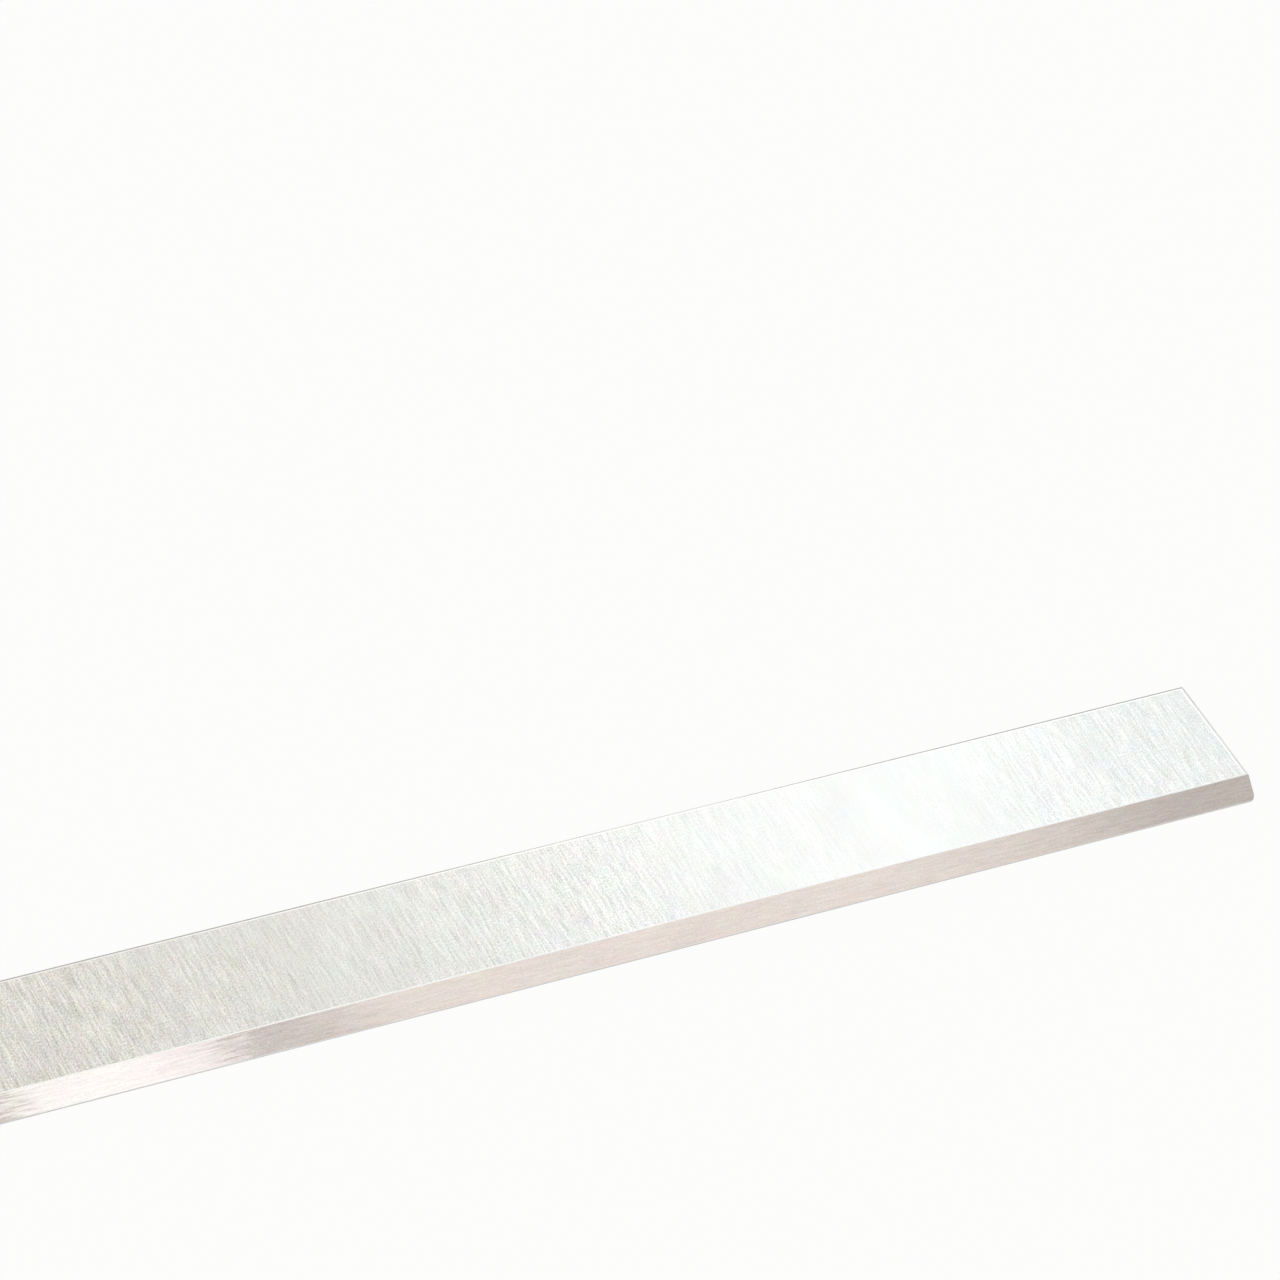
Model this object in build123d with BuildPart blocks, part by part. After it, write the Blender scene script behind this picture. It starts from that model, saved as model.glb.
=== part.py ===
from build123d import *
from math import cos, radians, sin, tan
import os

# A planer knife: one ground bar of tool steel with a single bevelled cutting edge.
# Millimetres and degrees. +X runs along the knife, the cutting edge is on the -Y side and +Z is up.
# The knife lies on its wide face, and the origin is under the middle of its box.

os.makedirs("parts", exist_ok=True)

# Size of the bar
knife_length = 260.0
knife_width = 25.0
knife_thickness = 3.0

# Cutting side, with both angles measured from the wide face
bevel_angle = 45.0
hone_angle = 62.0
hone_height = 0.18
corner_radius = 1.0

# Small breaks that take the sharpness off the edges that don't cut
edge_break_width = 0.6
edge_break_depth = 0.2
back_corner_break = 0.4
bevel_end_break = 0.2

# Points of the section on the cutting side
cutting_y = -knife_width / 2
hone_y = cutting_y + hone_height / tan(radians(hone_angle))
shoulder_y = hone_y + (knife_thickness - hone_height) / tan(radians(bevel_angle))

# Points of the section on the back edge
back_y = knife_width / 2
break_y = back_y - edge_break_width

# Points of the side view on an end
end_x = knife_length / 2
break_x = end_x - edge_break_width

# A plane square to the bevel's slope, whose own Y axis points straight out of the bevel
down_the_bevel = Vector(0, -cos(radians(bevel_angle)), -sin(radians(bevel_angle)))
across_bevel = Plane(origin=(0, shoulder_y, knife_thickness), x_dir=(1, 0, 0), z_dir=down_the_bevel)

# Further than the section measures in any direction
past_section = knife_width + knife_thickness

with BuildPart() as knife:
    # The ground section runs from end to end, with the back edge broken along both faces
    with BuildSketch(Plane.YZ) as section:
        with BuildLine():
            Polyline(
                (cutting_y, 0),
                (break_y, 0),
                (back_y, edge_break_depth),
                (back_y, knife_thickness - edge_break_depth),
                (break_y, knife_thickness),
                (shoulder_y, knife_thickness),
                (hone_y, hone_height),
                close=True,
            )
        make_face()
    extrude(amount=end_x, both=True)

    # Seen from above, the ends of the cutting edge are stoned round and the back corners are broken
    with BuildSketch(Plane.XY) as outline:
        Rectangle(knife_length, knife_width)
        fillet(outline.vertices().group_by(Axis.Y)[0], corner_radius)
        chamfer(outline.vertices().group_by(Axis.Y)[-1], back_corner_break)
    extrude(amount=knife_thickness, mode=Mode.INTERSECT)

    # Seen from the side, both ends are broken along the upper face and the underside
    with BuildSketch(Plane.XZ) as side:
        with BuildLine():
            Polyline(
                (0, 0),
                (break_x, 0),
                (end_x, edge_break_depth),
                (end_x, knife_thickness - edge_break_depth),
                (break_x, knife_thickness),
                (0, knife_thickness),
            )
            mirror(about=Plane.YZ)
        make_face()
    extrude(amount=knife_width / 2, both=True, mode=Mode.INTERSECT)

    # Seen along its own slope, the bevel has its two ends broken
    with BuildSketch(across_bevel) as bevel_ends:
        Rectangle(knife_length, past_section, align=(Align.CENTER, Align.MAX))
        chamfer(bevel_ends.vertices().group_by(Axis.Y)[-1], bevel_end_break)
    extrude(amount=past_section, both=True, mode=Mode.INTERSECT)

knife.part.label = "planer_knife"
export_step(knife.part, "parts/planer_knife.step")
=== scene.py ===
"""The planer knife's finish, light and camera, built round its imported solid.

Metres and the part's own frame: +X along the knife, the cutting edge on the -Y side, +Z up.
"""

import math

import bmesh
import bpy
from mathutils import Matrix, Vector


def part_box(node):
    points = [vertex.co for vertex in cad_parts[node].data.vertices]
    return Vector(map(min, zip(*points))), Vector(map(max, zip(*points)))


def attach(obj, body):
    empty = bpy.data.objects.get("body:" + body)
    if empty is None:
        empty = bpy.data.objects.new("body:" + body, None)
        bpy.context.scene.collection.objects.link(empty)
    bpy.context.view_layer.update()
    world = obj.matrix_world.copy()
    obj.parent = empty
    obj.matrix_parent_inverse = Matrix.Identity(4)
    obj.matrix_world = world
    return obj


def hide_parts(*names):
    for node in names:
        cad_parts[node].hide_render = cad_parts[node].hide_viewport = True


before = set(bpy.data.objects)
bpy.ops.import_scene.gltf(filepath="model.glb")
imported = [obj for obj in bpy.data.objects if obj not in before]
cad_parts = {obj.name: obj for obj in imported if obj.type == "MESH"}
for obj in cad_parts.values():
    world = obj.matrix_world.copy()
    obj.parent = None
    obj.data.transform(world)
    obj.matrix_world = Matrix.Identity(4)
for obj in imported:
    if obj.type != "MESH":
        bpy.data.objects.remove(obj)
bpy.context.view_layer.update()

MM = 0.001

# The solid's own section, in the sizes that its source gives
BEVEL_ANGLE = math.radians(45)
HONE_ANGLE = math.radians(62)
HONE_HEIGHT = 0.18 * MM
CORNER_RADIUS = 1.0 * MM
EDGE_BREAK_WIDTH = 0.6 * MM
EDGE_BREAK_DEPTH = 0.2 * MM
BACK_CORNER_BREAK = 0.4 * MM
BEVEL_END_BREAK = 0.2 * MM

# Edges that are only softened, with the radius of each: the shoulder of the bevel, and the rims of the
# breaks on the wide faces and on the back edge and ends
SHOULDER_RADIUS = 0.4 * MM
RIM_RADIUS = 1.2 * MM
EDGE_RADIUS = 0.2 * MM

# Facets in each softened edge and in each cutting corner, and the widest turn between two faces that is
# shaded smooth
ROUND_FACETS = 4
CORNER_FACETS = 10
SMOOTH_UP_TO = math.radians(24)

# How near a cutting plane a corner of the mesh counts as on it, in metres
CUT_TOLERANCE = 1e-8

# On the wide faces the grinding lines fan out a little from where they run square across, as if they came
# from a point this far off. Both are in millimetres.
FAN_MIDDLE = 100
FAN_POINT = 1300

# The noises that every finish has, each with its size across and along the grinding lines in millimetres
# and how far its place in the noise is from the finish's own seed
CLOUD_SIZE, CLOUD_PLACE = (7, 18), 40
STAIN_SIZE, STAIN_PLACE = (1.3, 2.6), 60
LEAN_SIZE, LEAN_PLACE = (0.3, 3.5), 80
PATCH_SIZE, PATCH_PLACE = (5, 6.5), 100
# The surge's size and place are set so that on the wide faces the lines and tints fade where the highlight
# falls in the camera's view: a painted wash-out under the highlight.
SURGE_SIZE, SURGE_PLACE = (60, 200), 1830
LAYER_STEP = 7

# How far the shade of the cloud and the roughness of the lines swing
CLOUD_SWING = 0.025
ROUGHNESS_SWING = 0.03

# How fine and rough every noise is, its usual range and its middle colour
NOISE_DETAIL = 2.0
NOISE_ROUGHNESS = 0.5
NOISE_LOW, NOISE_HIGH = 0.25, 0.75
NOISE_MIDDLE = (0.5, 0.5, 0.5)

# The photograph's view
CAMERA_LENS = 116.56
SENSOR_WIDTH = 36.0
CAMERA_AZIMUTH = math.radians(-20.585)
CAMERA_ELEVATION = math.radians(38.852)
CAMERA_DISTANCE = 650.07 * MM
CAMERA_AIM = Vector((57.154, 55.747, 0)) * MM


def slope(angle):
    """Outward normal of a face that rises from the cutting side at this angle."""
    return Vector((0, -math.sin(angle), math.cos(angle)))


def cut(solid, point, normal, finish):
    """Takes off what lies outside a plane and closes the solid with a face of the given finish."""
    sliced = bmesh.ops.bisect_plane(
        solid,
        geom=solid.verts[:] + solid.edges[:] + solid.faces[:],
        plane_co=point,
        plane_no=normal,
        clear_outer=True,
        dist=CUT_TOLERANCE,
    )
    rim = [e for e in sliced["geom_cut"] if isinstance(e, bmesh.types.BMEdge) and e.is_boundary]
    if not rim:
        return
    closed = bmesh.ops.contextual_create(solid, geom=rim)
    for face in closed["faces"]:
        face.material_index = FINISHES.index(finish)


def soften(solid, point, first, second, radius, finish):
    """Rounds the edge through point between two faces with these normals, as facets of a cylinder."""
    centre = point - (first + second) * radius / (1 + first.dot(second))
    for step in range(1, ROUND_FACETS + 1):
        normal = first.slerp(second, step / (ROUND_FACETS + 1))
        cut(solid, centre + normal * radius, normal, finish)


def break_edge(solid, low, high, place, outward):
    """Breaks the edges of both wide faces along the side that faces outward at this place."""
    for face_z, into in ((high.z, -1), (low.z, 1)):
        face_normal = Vector((0, 0, -into))
        face_rim = place - outward * EDGE_BREAK_WIDTH + Vector((0, 0, face_z))
        side_rim = place + Vector((0, 0, face_z + into * EDGE_BREAK_DEPTH))
        normal = (outward * EDGE_BREAK_DEPTH + face_normal * EDGE_BREAK_WIDTH).normalized()
        # The break takes a darker tone, painted shade for the dark line along the outline.
        cut(solid, face_rim, normal, "shaded_break")
        # The rounded rim takes the rubbed finish, whose bright tone is mostly a painted highlight.
        soften(solid, face_rim, face_normal, normal, RIM_RADIUS, "rubbed_highlight")
        # Its rounding into the side takes the same painted shade.
        soften(solid, side_rim, normal, outward, EDGE_RADIUS, "shaded_break")


def knife_solid(low, high):
    """The knife as the common volume of its planes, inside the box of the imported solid."""
    up, back = Vector((0, 0, 1)), Vector((0, 1, 0))
    top = high.z
    hone_y = low.y + HONE_HEIGHT / math.tan(HONE_ANGLE)
    shoulder = Vector((0, hone_y + (top - HONE_HEIGHT) / math.tan(BEVEL_ANGLE), top))
    solid = bmesh.new()
    bmesh.ops.create_cube(solid, size=1)
    bmesh.ops.scale(solid, vec=high - low, verts=solid.verts)
    bmesh.ops.translate(solid, vec=(low + high) / 2, verts=solid.verts)
    for face in solid.faces:
        flat = abs(face.normal.z) > 0.5
        face.material_index = FINISHES.index("cross_ground" if flat else "edge_ground")

    cut(solid, shoulder, slope(BEVEL_ANGLE), "bevel_ground")
    cut(solid, Vector((0, low.y, low.z)), slope(HONE_ANGLE), "honed")
    # The shoulder's finish is lighter than the faces: partly burnish, partly a painted highlight along the
    # shoulder.
    soften(solid, shoulder, up, slope(BEVEL_ANGLE), SHOULDER_RADIUS, "stoned_highlight")

    break_edge(solid, low, high, Vector((0, high.y, 0)), back)
    for end_x, outward in ((low.x, Vector((-1, 0, 0))), (high.x, Vector((1, 0, 0)))):
        centre = Vector((end_x - outward.x * CORNER_RADIUS, low.y + CORNER_RADIUS, low.z))
        for step in range(1, CORNER_FACETS + 1):
            normal = outward.slerp(-back, step / (CORNER_FACETS + 1))
            cut(solid, centre + normal * CORNER_RADIUS, normal, "edge_ground")
        corner = Vector((end_x, high.y - BACK_CORNER_BREAK, 0))
        # The back corner's break takes the darkest tone, painted shade.
        cut(solid, corner, (outward + back).normalized(), "shaded_corner_break")
        break_edge(solid, low, high, Vector((end_x, 0, 0)), outward)
        rim = shoulder + Vector((end_x - outward.x * BEVEL_END_BREAK, 0, 0))
        # The bevel's end break takes the same darkest tone, painted shade.
        cut(solid, rim, (outward + slope(BEVEL_ANGLE)).normalized(), "shaded_corner_break")
    bmesh.ops.recalc_face_normals(solid, faces=solid.faces)
    return solid


def grain_direction(face):
    """The way the grinding lines run on a face."""
    finish = FINISHES[face.material_index]
    if finish == "cross_ground" or abs(face.normal.x) > abs(face.normal.y):
        line = Vector((0, 1, 0))
    else:
        line = Vector((1, 0, 0))
    return (line - face.normal * line.dot(face.normal)).normalized()


def lay_grain(solid):
    """A UV map in millimetres: U runs across the grinding lines and V along them."""
    grain = solid.loops.layers.uv.new("grain")
    for face in solid.faces:
        along = grain_direction(face)
        across = along.cross(face.normal)
        for loop in face.loops:
            place = loop.vert.co / MM
            loop[grain].uv = (place.dot(across), place.dot(along))


def build_knife():
    low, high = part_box("planer_knife")
    solid = knife_solid(low, high)
    lay_grain(solid)
    mesh = bpy.data.meshes.new("planer_knife_mesh")
    solid.to_mesh(mesh)
    solid.free()
    knife = bpy.data.objects.new("knife", mesh)
    bpy.context.scene.collection.objects.link(knife)
    for finish in FINISHES:
        mesh.materials.append(MATERIALS[finish]())
    mesh.shade_smooth()
    mesh.set_sharp_from_angle(angle=SMOOTH_UP_TO)
    weighted = knife.modifiers.new("flat_faces_stay_flat", "WEIGHTED_NORMAL")
    weighted.keep_sharp = True
    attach(knife, "root")
    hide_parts("planer_knife")


# The sockets that carry colours on Blender's Mix node, which has more sockets of the same names
MIX_FIRST, MIX_SECOND, MIX_RESULT = 6, 7, 2


class Nodes:
    """Adds nodes to one tree, with their settings and inputs given in one line."""

    def __init__(self, owner):
        owner.use_nodes = True
        self.tree = owner.node_tree
        self.tree.nodes.clear()

    def add(self, kind, inputs=None, **settings):
        made = self.tree.nodes.new(kind)
        for name, value in settings.items():
            setattr(made, name, value)
        for name, value in (inputs or {}).items():
            socket = made.inputs[name]
            if isinstance(value, bpy.types.NodeSocket):
                self.tree.links.new(value, socket)
            else:
                socket.default_value = value
        return made

    def math(self, operation, *values):
        return self.add("ShaderNodeMath", dict(enumerate(values)), operation=operation).outputs[0]

    def vector(self, operation, first, second=None):
        """Vector maths, where the second input of SCALE is a number."""
        inputs = {0: first}
        if second is not None:
            inputs["Scale" if operation == "SCALE" else 1] = second
        return self.add("ShaderNodeVectorMath", inputs, operation=operation).outputs[0]

    def noise(self, grain, across, along, seed):
        """Streaks of about this many millimetres across and along the grinding lines."""
        stretched = self.add(
            "ShaderNodeMapping",
            {"Vector": grain, "Location": (seed, seed, 0), "Scale": (1 / across, 1 / along, 1)},
        )
        return self.add(
            "ShaderNodeTexNoise",
            {
                "Vector": stretched.outputs[0],
                "Scale": 1.0,
                "Detail": NOISE_DETAIL,
                "Roughness": NOISE_ROUGHNESS,
            },
            noise_dimensions="2D",
        )

    def swing(self, value, low, high):
        """A noise value spread over low to high, from its usual range."""
        return self.add(
            "ShaderNodeMapRange",
            {"Value": value, "From Min": NOISE_LOW, "From Max": NOISE_HIGH, "To Min": low, "To Max": high},
            clamp=False,
        ).outputs[0]

    def mix(self, share, first, second):
        """A colour that goes from first to second as share goes from 0 to 1."""
        inputs = {0: share, MIX_FIRST: first, MIX_SECOND: second}
        return self.add("ShaderNodeMix", inputs, data_type="RGBA").outputs[MIX_RESULT]


def steel(
    name,
    tone,
    roughness,
    anisotropy,
    streaks,
    contrast,
    tint,
    depth,
    sway=0.0,
    haze=0.0,
    swell=0.0,
    fan=0.0,
    seed=0,
):
    """Bare ground steel whose lines follow the grain map.

    streaks are (mm across, mm along, weight) for each layer, contrast is how far their shade swings,
    tint is how far single colours stray, depth is the height of the lines in millimetres, sway is how
    far the surface leans to and fro along its lines, as a slope, haze is how far wide patches of colour
    stray, swell is how far contrast and tint come and go across the lines, fan is how fast the lines
    spread, and seed is the finish's place in its noises.
    """
    material = bpy.data.materials.new(name)
    nodes = Nodes(material)
    tangent = nodes.add("ShaderNodeTangent", direction_type="UV_MAP", uv_map="grain").outputs[0]
    normal = nodes.add("ShaderNodeNewGeometry").outputs["Normal"]
    along = nodes.vector("CROSS_PRODUCT", normal, tangent)
    grain = nodes.add("ShaderNodeUVMap", uv_map="grain").outputs[0]
    if fan:
        place = nodes.add("ShaderNodeSeparateXYZ", {0: grain}).outputs
        from_middle = nodes.math("SUBTRACT", place["X"], FAN_MIDDLE)
        spread = nodes.math("ADD", nodes.math("MULTIPLY", place["Y"], fan), 1.0)
        line = nodes.math("DIVIDE", from_middle, spread)
        grain = nodes.add("ShaderNodeCombineXYZ", {0: line, 1: place["Y"]}).outputs[0]
        turn = nodes.vector("SCALE", along, nodes.math("MULTIPLY", line, -fan))
        tangent = nodes.vector("NORMALIZE", nodes.vector("ADD", tangent, turn))

    lines = None
    for layer, (across, length, weight) in enumerate(streaks):
        noise = nodes.noise(grain, across, length, seed + LAYER_STEP * layer).outputs[0]
        share = nodes.math("MULTIPLY", noise, weight)
        lines = share if lines is None else nodes.math("ADD", lines, share)
    cloud = nodes.noise(grain, *CLOUD_SIZE, seed + CLOUD_PLACE).outputs[0]
    stain = nodes.noise(grain, *STAIN_SIZE, seed + STAIN_PLACE).outputs["Color"]
    patch = nodes.noise(grain, *PATCH_SIZE, seed + PATCH_PLACE).outputs["Color"]
    surge = nodes.noise(grain, *SURGE_SIZE, seed + SURGE_PLACE).outputs[0]
    slant = nodes.noise(grain, *LEAN_SIZE, seed + LEAN_PLACE).outputs[0]

    # strength is lowest where the highlight falls in the camera's view, so the colour's lines and tints fade
    # there as painted highlight wash-out.
    strength = nodes.swing(surge, 1 - swell, 1 + swell)
    streaked = nodes.math("MULTIPLY_ADD", nodes.swing(lines, -contrast, contrast), strength, 1.0)
    clouded = nodes.swing(cloud, 1 - CLOUD_SWING, 1 + CLOUD_SWING)
    shade = nodes.math("MULTIPLY", streaked, clouded)
    stray = nodes.math("MULTIPLY", strength, tint)
    spots = nodes.vector("SCALE", nodes.vector("SUBTRACT", stain, NOISE_MIDDLE), stray)
    drift = nodes.vector("SCALE", nodes.vector("SUBTRACT", patch, NOISE_MIDDLE), haze)
    spotted = nodes.vector("ADD", nodes.vector("SCALE", tone, shade), spots)
    colour = nodes.vector("ADD", spotted, drift)

    lean = nodes.swing(slant, -sway, sway)
    leant = nodes.vector("NORMALIZE", nodes.vector("ADD", normal, nodes.vector("SCALE", along, lean)))
    bump = nodes.add(
        "ShaderNodeBump", {"Strength": 1.0, "Distance": depth * MM, "Height": lines, "Normal": leant}
    )
    shader = nodes.add(
        "ShaderNodeBsdfPrincipled",
        {
            "Base Color": colour,
            "Metallic": 1.0,
            "Roughness": nodes.swing(lines, roughness - ROUGHNESS_SWING, roughness + ROUGHNESS_SWING),
            "Anisotropic": anisotropy,
            "Tangent": tangent,
            "Normal": bump.outputs[0],
        },
    )
    nodes.add("ShaderNodeOutputMaterial", {"Surface": shader.outputs[0]})
    return material


def cross_ground():
    """The wide faces, ground across in short fine lines with faint rainbow tints."""
    return steel(
        "cross_ground_steel",
        tone=(0.73, 0.74, 0.731),
        roughness=0.18,
        anisotropy=0.78,
        streaks=[(0.45, 7.0, 0.27), (0.2, 3.5, 0.25), (0.2, 0.4, 0.48)],
        contrast=0.32,
        tint=0.06,
        depth=0.0006,
        haze=0.045,
        swell=0.8,
        fan=1 / FAN_POINT,
        seed=3,
    )


def bevel_ground():
    """The bevel, ground along the knife in long lines, with a warm tone that is partly the steel's and
    partly a painted reflection of the warm light in front.
    """
    return steel(
        "bevel_ground_steel",
        tone=(0.73, 0.7, 0.695),
        roughness=0.075,
        anisotropy=1.0,
        streaks=[(0.35, 6.0, 0.3), (0.15, 2.0, 0.3), (0.2, 0.4, 0.4)],
        contrast=0.18,
        tint=0.06,
        depth=0.0006,
        sway=0.0028,
        haze=0.03,
        seed=11,
    )


def honed():
    """The narrow honed land behind the cutting edge."""
    return steel(
        "honed_steel",
        tone=(0.77, 0.785, 0.805),
        roughness=0.22,
        anisotropy=0.4,
        streaks=[(0.08, 3.0, 1.0)],
        contrast=0.05,
        tint=0.03,
        depth=0.0003,
        seed=19,
    )


def softened(name, tone):
    """A rim that is rounded smooth."""
    return steel(
        name,
        tone=tone,
        roughness=0.28,
        anisotropy=0.2,
        streaks=[(0.15, 2.0, 1.0)],
        contrast=0.06,
        tint=0.03,
        depth=0.0004,
        seed=23,
    )


def stoned_highlight():
    """The shoulder of the bevel, softened by hand with a stone, with a lighter tone that is partly burnish
    and partly a painted highlight.
    """
    return softened("stoned_highlight_steel", (0.87, 0.87, 0.855))


def rubbed_highlight():
    """The rims of the breaks, the brightest places: partly rubbed smooth, mostly a painted highlight
    brighter than bare steel.
    """
    return softened("rubbed_highlight_steel", (0.95, 0.95, 0.935))


def shaded_break_ground(name, tone):
    """A break that is ground duller than the faces, with a darker tone that is painted shade."""
    return steel(
        name,
        tone=tone,
        roughness=0.2,
        anisotropy=0.3,
        streaks=[(0.2, 5.0, 0.6), (0.12, 1.0, 0.4)],
        contrast=0.2,
        tint=0.05,
        depth=0.0006,
        seed=27,
    )


def shaded_break():
    """The long breaks along the back edge and both ends, whose darker tone is painted shade for the dark
    line along the outline, made lighter in place of some light from the low windows behind.
    """
    return shaded_break_ground("shaded_broken_edge_steel", (0.65, 0.632, 0.615))


def shaded_corner_break():
    """The small breaks at the back corners and the ends of the bevel, the darkest places, whose dark tone is
    painted shade.
    """
    return shaded_break_ground("shaded_broken_corner_steel", (0.46, 0.447, 0.435))


def edge_ground():
    """The back edge and the ends, ground more coarsely than the faces."""
    return steel(
        "edge_ground_steel",
        tone=(0.62, 0.62, 0.6),
        roughness=0.36,
        anisotropy=0.5,
        streaks=[(0.3, 6.0, 0.6), (0.12, 3.0, 0.4)],
        contrast=0.12,
        tint=0.05,
        depth=0.002,
        seed=31,
    )


# The finishes, in the order of the knife's material slots
MATERIALS = {
    "cross_ground": cross_ground,
    "bevel_ground": bevel_ground,
    "honed": honed,
    "stoned_highlight": stoned_highlight,
    "rubbed_highlight": rubbed_highlight,
    "shaded_break": shaded_break,
    "shaded_corner_break": shaded_corner_break,
    "edge_ground": edge_ground,
}
FINISHES = list(MATERIALS)


# The floor's side in metres, how pale it is and how much of its own white the camera and the steel see
FLOOR_SIZE = 12.0
FLOOR_TONE = 0.9
FLOOR_GLOW = 0.9


def build_floor():
    """A pale floor that stays white to the camera and keeps a soft shadow of the knife."""
    half = FLOOR_SIZE / 2
    corners = [(-half, -half, 0), (half, -half, 0), (half, half, 0), (-half, half, 0)]
    mesh = bpy.data.meshes.new("floor")
    mesh.from_pydata(corners, [], [(0, 1, 2, 3)])
    floor = bpy.data.objects.new("floor", mesh)
    bpy.context.scene.collection.objects.link(floor)
    material = bpy.data.materials.new("floor_white")
    nodes = Nodes(material)
    path = nodes.add("ShaderNodeLightPath")
    lit = nodes.add("ShaderNodeBsdfDiffuse", {"Color": (FLOOR_TONE, FLOOR_TONE, FLOOR_TONE, 1)})
    glow = nodes.add("ShaderNodeEmission", {"Color": (1, 1, 1, 1), "Strength": 1.0})
    seen = nodes.math("MAXIMUM", path.outputs["Is Camera Ray"], path.outputs["Is Glossy Ray"])
    mixed = nodes.add(
        "ShaderNodeMixShader",
        {0: nodes.math("MULTIPLY", seen, FLOOR_GLOW), 1: lit.outputs[0], 2: glow.outputs[0]},
    )
    nodes.add("ShaderNodeOutputMaterial", {"Surface": mixed.outputs[0]})
    mesh.materials.append(material)


# Bright places in the studio, as seen from the knife: azimuth 0 is behind it (+Y), 90 past its +X end and
# 180 in front. Each has its range of azimuth with the softness of both borders, its range of elevation
# with its softness, its slant in degrees to the right for each degree up, its brightness and its colour.
WINDOWS = [
    ("behind", (19.8, 30.5), (8, 6), (26, 62), 8, 0.7, 0.64, (1.0, 0.96, 1.0)),
    ("low_behind", (16, 46), (6, 10), (15, 30), 6, 0, 0.42, (1.0, 1.0, 1.0)),
    ("low_strip", (13.2, 18), (4, 3), (-6, 12), 4, 0, 0.75, (1.0, 1.0, 1.0)),
    ("low_right", (38, 75), (10, 10), (-6, 16), 4, 0, 0.5, (1.0, 1.0, 1.02)),
    ("right_wall", (16, 90), (14, 20), (20, 70), 12, 0, 0.14, (0.0, 0.5, 1.0)),
    ("overhead", (-180, 180), (1, 1), (64, 91), 8, 0, 0.1, (1.0, 1.0, 1.0)),
    ("ahead_left", (168.75, 171.5), (1.0, 0.5), (16, 74), 12, 0, 0.68, (0.93, 1.0, 1.02)),
    ("ahead_middle", (167.22, 168.75), (0.15, 1.0), (16, 74), 12, 0, 0.6, (1.02, 0.98, 1.02)),
    ("ahead_warm", (171, 176), (1.2, 3), (16, 74), 12, 0, 0.06, (1.0, 0.96, 0.78)),
    ("ahead_right", (151.5, 165.3), (5, 4), (16, 74), 12, 0, 0.37, (1.0, 0.94, 0.88)),
]

# How bright the studio is behind the knife and in front of it, from the horizon to straight above. Each stop
# is the height there, as the sine of the elevation, and its colour. The change between the two is so wide,
# where 2 would be from straight behind to straight in front.
BEHIND = [
    (0.0, (0.5, 0.5, 0.49)),
    (0.25, (0.75, 0.75, 0.73)),
    (0.6, (0.94, 0.9, 0.82)),
    (0.655, (1.0, 0.957, 0.872)),
    (0.73, (0.9, 0.855, 0.775)),
    (1.0, (1.0, 1.0, 1.0)),
]
AHEAD = [
    (0.0, (0.7, 0.67, 0.64)),
    (0.4, (0.66, 0.62, 0.58)),
    (0.6, (0.65, 0.6, 0.555)),
    (0.8, (0.8, 0.76, 0.715)),
    (1.0, (1.0, 1.0, 1.0)),
]
SIDE_SOFTNESS = 0.7

# The elevation at which a slanted window is at its own azimuth
SLANT_FROM = 42


def ramp(nodes, value, stops):
    """The colour at value between (place, colour) stops."""
    made = nodes.add("ShaderNodeValToRGB", {0: value})
    elements = made.color_ramp.elements
    while len(elements) < len(stops):
        elements.new(0.5)
    for element, (place, colour) in zip(elements, stops):
        element.position = place
        element.color = (*colour, 1)
    return made.outputs[0]


def border(nodes, value, place, softness, low, high):
    """Goes from low to high as value passes a place."""
    half = softness / 2
    return nodes.add(
        "ShaderNodeMapRange",
        {"Value": value, "From Min": place - half, "From Max": place + half, "To Min": low, "To Max": high},
        interpolation_type="SMOOTHSTEP",
    ).outputs[0]


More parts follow.
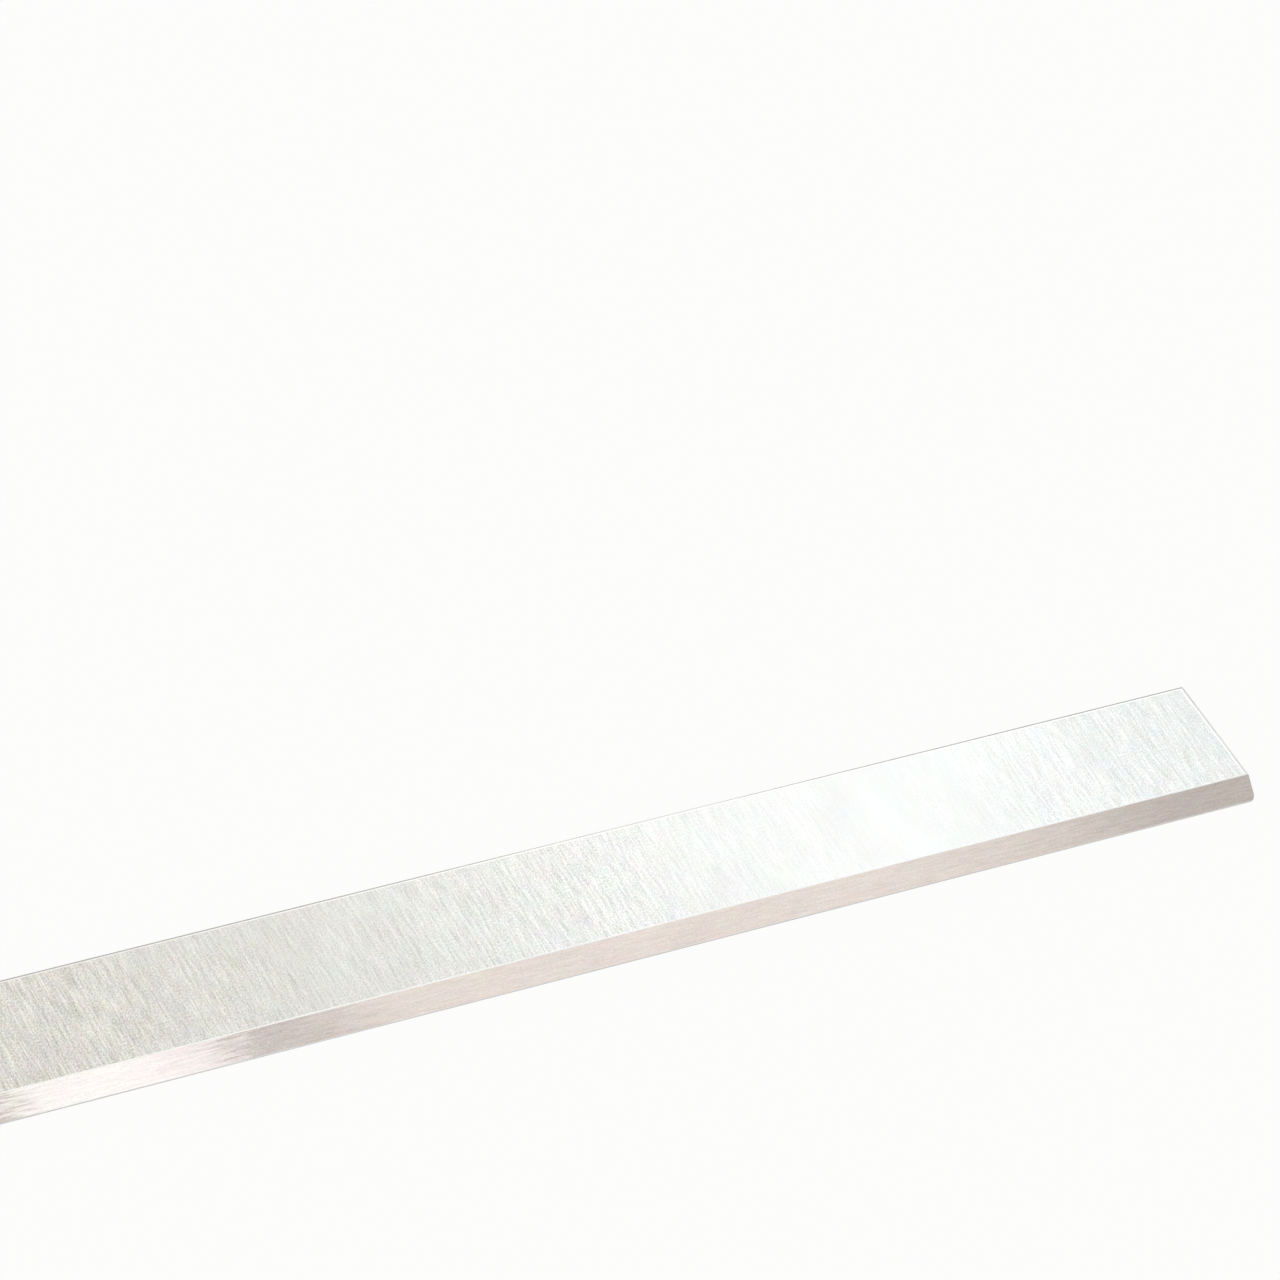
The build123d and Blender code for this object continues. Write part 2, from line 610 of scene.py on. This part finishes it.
def build_world():
    """A pale studio, brighter behind the knife than in front of it, with soft windows.

    The camera itself sees it as plain white.
    """
    world = bpy.data.worlds.new("studio")
    bpy.context.scene.world = world
    nodes = Nodes(world)
    sky = nodes.add("ShaderNodeTexCoord").outputs["Generated"]
    parts = nodes.add("ShaderNodeSeparateXYZ", {0: sky}).outputs
    azimuth = nodes.math("DEGREES", nodes.math("ARCTAN2", parts["X"], parts["Y"]))
    elevation = nodes.math("DEGREES", nodes.math("ARCSINE", parts["Z"]))
    side = border(nodes, parts["Y"], 0, SIDE_SOFTNESS, 0, 1)
    light = nodes.mix(side, ramp(nodes, parts["Z"], AHEAD), ramp(nodes, parts["Z"], BEHIND))
    for name, around, soft, height, soft_height, slant, radiance, colour in WINDOWS:
        shift = nodes.math("MULTIPLY", nodes.math("SUBTRACT", elevation, SLANT_FROM), slant)
        sideways = nodes.math("SUBTRACT", azimuth, shift)
        edges = [
            border(nodes, sideways, around[0], soft[0], 0, 1),
            border(nodes, sideways, around[1], soft[1], 1, 0),
            border(nodes, elevation, height[0], soft_height, 0, 1),
            border(nodes, elevation, height[1], soft_height, 1, 0),
        ]
        share = radiance
        for edge in edges:
            share = nodes.math("MULTIPLY", share, edge)
        window = nodes.vector("SCALE", colour, share)
        window.node.label = name
        light = nodes.vector("ADD", light, window)
    camera_ray = nodes.add("ShaderNodeLightPath").outputs["Is Camera Ray"]
    seen = nodes.mix(camera_ray, light, (1, 1, 1, 1))
    background = nodes.add("ShaderNodeBackground", {"Color": seen, "Strength": 1.0})
    nodes.add("ShaderNodeOutputWorld", {"Surface": background.outputs[0]})


def build_camera():
    lens = bpy.data.cameras.new("camera")
    lens.lens = CAMERA_LENS
    lens.sensor_width = SENSOR_WIDTH
    camera = bpy.data.objects.new("camera", lens)
    away = Vector((
        math.sin(CAMERA_AZIMUTH) * math.cos(CAMERA_ELEVATION),
        -math.cos(CAMERA_AZIMUTH) * math.cos(CAMERA_ELEVATION),
        math.sin(CAMERA_ELEVATION),
    ))
    camera.location = CAMERA_AIM + away * CAMERA_DISTANCE
    camera.rotation_euler = away.to_track_quat("Z", "Y").to_euler()
    bpy.context.scene.collection.objects.link(camera)
    bpy.context.scene.camera = camera


build_knife()
build_floor()
build_world()
build_camera()
bpy.context.scene.view_settings.view_transform = "Standard"

bpy.context.view_layer.update()
